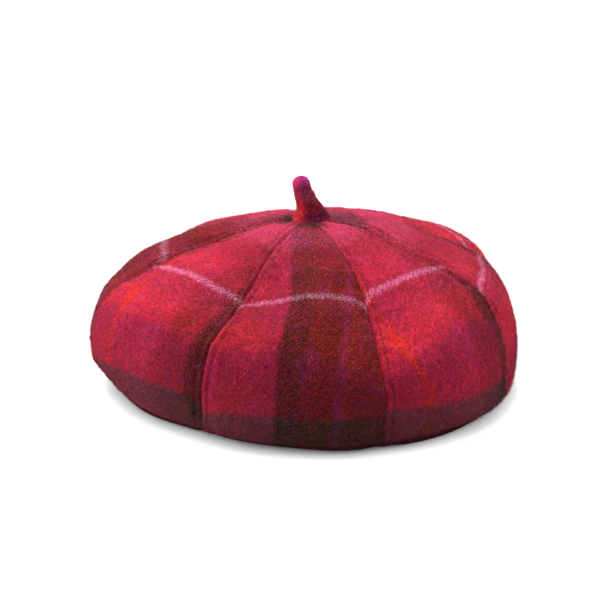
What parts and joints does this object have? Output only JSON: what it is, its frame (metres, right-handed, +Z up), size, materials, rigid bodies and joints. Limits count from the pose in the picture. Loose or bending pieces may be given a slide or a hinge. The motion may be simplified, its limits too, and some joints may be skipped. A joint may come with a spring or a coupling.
{
  "type": "tam o shanter",
  "caption": "Soft round wool plaid tam o shanter with a puffed crown of tapered gores, a leaning cloth stalk on top and a black band round the head opening.",
  "frame": {"origin": "centre of the box round the hat, on the surface that it rests on", "axes": "+Z up through the stalk, -Y towards the viewer of the picture, +X to the viewer's right"},
  "size_m": [0.2638, 0.2742, 0.134],
  "materials": {
    "plaid_red_warp": "brushed wool plaid, crimson and pink with an orange-red stripe",
    "plaid_brown_warp": "brushed wool plaid, crimson with a wide dark brown stripe",
    "heather_wool": "brushed wool, dark plum and magenta heather",
    "black_ribbon": "matt ribbed ribbon"
  },
  "bodies": {
    "root": {"gore_front": "plaid_brown_warp", "gore_front_right": "plaid_red_warp", "gore_right": "plaid_brown_warp", "gore_back_right": "plaid_red_warp", "gore_back": "plaid_brown_warp", "gore_back_left": "plaid_red_warp", "gore_left": "plaid_brown_warp", "gore_front_left": "plaid_red_warp", "stalk": "heather_wool", "headband": "black_ribbon"}
  },
  "joints": []
}
